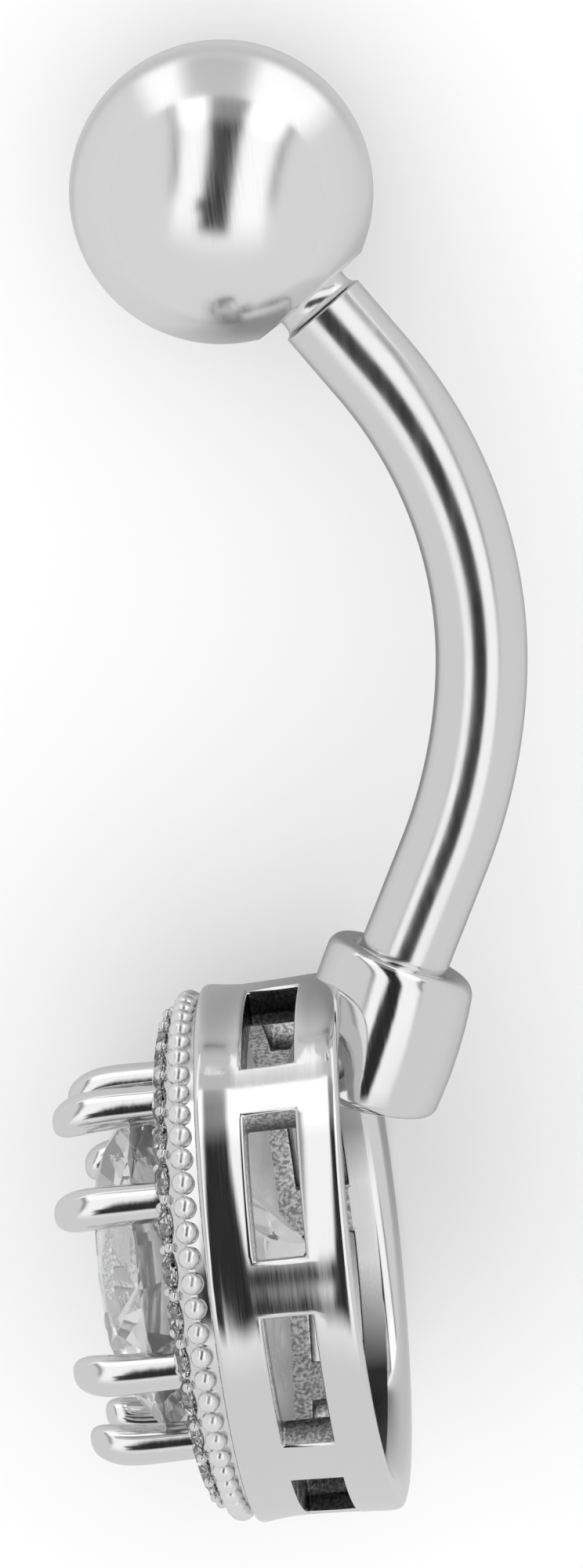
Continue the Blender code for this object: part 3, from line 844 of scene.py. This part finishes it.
# The collar. A plated cup with a thick rounded lip is soldered to the back of the head's top and takes the
# bar's end. It is slightly barrelled, leans away from the head, and its foot is filed at a slant.
COLLAR_RADIUS = 1.3
COLLAR_LENGTH = 2.42
COLLAR_FOOT_RADIUS = 1.0
# how far the foot drops on the head's side for each millimetre across, from which share of the length on
COLLAR_SLANT = 0.14
COLLAR_SLANT_START = 0.37
# how far the body leans away from the head below the lip, and how much of a half turn its sine takes
COLLAR_BEND = 0.13
COLLAR_BEND_REACH = 0.6
collar_profile = [
    (0, -COLLAR_LENGTH),
    (COLLAR_FOOT_RADIUS, -COLLAR_LENGTH),
    *arc((1.13, -2.22), (0.2, 0.2), -85, -8, 6),
    (1.335, -2.0),
    (1.345, -1.6),
    (1.345, -1.2),
    (1.335, -0.8),
    (1.32, -0.5),
    *arc((1.03, -0.29), (0.27, 0.29), 0, 90, 8),
    *arc((1.03, -0.2), (0.22, 0.2), 90, 180, 6)[1:],
    (0.8, -0.5),
    (0.8, -0.75),
    (0, -0.75),
]
collar = turned_piece("bar_collar", collar_profile, 128)
for vert in collar.data.vertices:
    down = -vert.co.z / COLLAR_LENGTH
    if down > 0 and math.hypot(vert.co.x, vert.co.y) > COLLAR_FOOT_RADIUS:
        vert.co.x += COLLAR_BEND * math.sin(COLLAR_BEND_REACH * math.pi * down)
    if down > COLLAR_SLANT_START:
        slanted = (down - COLLAR_SLANT_START) / (1 - COLLAR_SLANT_START)
        vert.co.z += COLLAR_SLANT * (vert.co.x - COLLAR_RADIUS) * slanted
collar_frame = bar_frame @ Matrix.Rotation(-math.pi / 2, 4, "X")
set_down(collar, collar_frame, plated, "jewel", 35)
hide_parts("setting")


# The large stone. A round brilliant in a clear colourless material, cut with a table, eight stars, eight kite
# facets, sixteen upper and sixteen lower girdle facets and eight pavilion mains. The claws hold its edge.
STONE_RADIUS = 2.96
STONE_GIRDLE = 0.1
STONE_CROWN = 0.78
STONE_PAVILION = 2.57
STONE_TABLE = 0.55
STONE_AT = -3.72
FACET_STEP = 45
STAR_SHARE = 0.45
LOWER_SHARE = 0.24

clear = bpy.data.materials.new("clear cut stone")
clear.use_nodes = True
clear_shader = clear.node_tree.nodes["Principled BSDF"]
clear_shader.inputs["Base Color"].default_value = (0.99, 0.99, 1.0, 1)
clear_shader.inputs["Transmission Weight"].default_value = 0.9
clear_shader.inputs["IOR"].default_value = 1.85
haze = add_range(clear, add_noise(clear, 700, 3), 0.0, 0.015)
clear.node_tree.links.new(haze, clear_shader.inputs["Roughness"])


def grind(first, second, third):
    """Grinds one facet: cuts off what lies outside the plane through three points, and closes the cut."""
    normal = (second - first).cross(third - first).normalized()
    if normal.dot(first) < 0:
        normal = -normal
    bpy.ops.mesh.select_all(action="SELECT")
    bpy.ops.mesh.bisect(
        plane_co=first, plane_no=normal, use_fill=True, clear_outer=True, threshold=0.00005
    )


def at(distance, degrees, height):
    """A point at a distance from the stone's axis."""
    angle = math.radians(degrees)
    return Vector((distance * math.cos(angle), distance * math.sin(angle), height))


def cut_stone(name, radius, girdle, crown, pavilion, table, sides, full):
    """A round stone, table up, with the girdle's middle at the origin and, if full, with all its facets."""
    top = girdle / 2 + crown
    culet = -girdle / 2 - pavilion
    bpy.ops.object.select_all(action="DESELECT")
    bpy.ops.mesh.primitive_cylinder_add(
        vertices=sides, radius=radius, depth=top - culet, location=(0, 0, (top + culet) / 2)
    )
    piece = bpy.context.object
    piece.name = name
    edit(piece)
    for mid in range(0, 360, FACET_STEP):
        for rim_height, tip_radius, tip_height in (
            (girdle / 2, radius * table, top),
            (-girdle / 2, 0, culet),
        ):
            edge_point = at(radius, mid, rim_height)
            beside = edge_point + at(radius, mid + 90, 0)
            grind(edge_point, beside, at(tip_radius, mid, tip_height))
    if full:
        half = FACET_STEP / 2
        ridge = math.cos(math.radians(half))
        star_radius = radius * (table + (1 - table) * STAR_SHARE)
        star_height = top - (star_radius * ridge - radius * table) * crown / (radius * (1 - table))
        lower_radius = radius * LOWER_SHARE
        lower_height = culet + lower_radius * ridge * pavilion / radius
        for mid in range(0, 360, FACET_STEP):
            star = at(star_radius, mid + half, star_height)
            lower = at(lower_radius, mid + half, lower_height)
            grind(at(radius * table, mid, top), at(radius * table, mid + FACET_STEP, top), star)
            for side in (mid, mid + FACET_STEP):
                grind(star, at(radius, side, girdle / 2), at(radius, mid + half, girdle / 2))
                grind(lower, at(radius, side, -girdle / 2), at(radius, mid + half, -girdle / 2))
    bpy.ops.mesh.select_all(action="SELECT")
    bpy.ops.mesh.remove_doubles(threshold=0.0004)
    bpy.ops.mesh.normals_make_consistent(inside=False)
    bpy.ops.object.mode_set(mode="OBJECT")
    piece.data.transform(Matrix.Translation(piece.location))
    piece.location = (0, 0, 0)
    return piece


stone = cut_stone(
    "large_stone", STONE_RADIUS, STONE_GIRDLE, STONE_CROWN, STONE_PAVILION, STONE_TABLE, 64, True
)
stone_place = (
    head_frame @ Matrix.Translation((0, 0, STONE_AT)) @ Matrix.Rotation(math.pi, 4, "X")
)
set_down(stone, stone_place, clear, "jewel", 1)
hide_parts("center_stone")


# The halo's stones. Thirty-two small round stones of the same clear material sit one in each drilled seat,
# and the grains hold them there.
SMALL_RADIUS = 0.31
SMALL_GIRDLE = 0.04
SMALL_CROWN = 0.1
SMALL_PAVILION = 0.27

bright = clear.copy()
bright.name = "clear small stone"
bright_shader = bright.node_tree.nodes["Principled BSDF"]
bright_shader.inputs["Transmission Weight"].default_value = 1
bright_shader.inputs["IOR"].default_value = 2.2

small = cut_stone(
    "small_stone", SMALL_RADIUS, SMALL_GIRDLE, SMALL_CROWN, SMALL_PAVILION, STONE_TABLE, 24, False
)
for number, angle in enumerate(even_turns(HALO_COUNT), 1):
    copy = small.copy()
    copy.data = small.data.copy()
    copy.name = f"small_stone_{number:02d}"
    bpy.context.scene.collection.objects.link(copy)
    place = head_frame @ Matrix.Rotation(math.radians(angle), 4, "Z") @ halo_seat
    set_down(copy, place, bright, "jewel", 1)
    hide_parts(f"halo_stone_{number:02d}")
bpy.data.objects.remove(small)
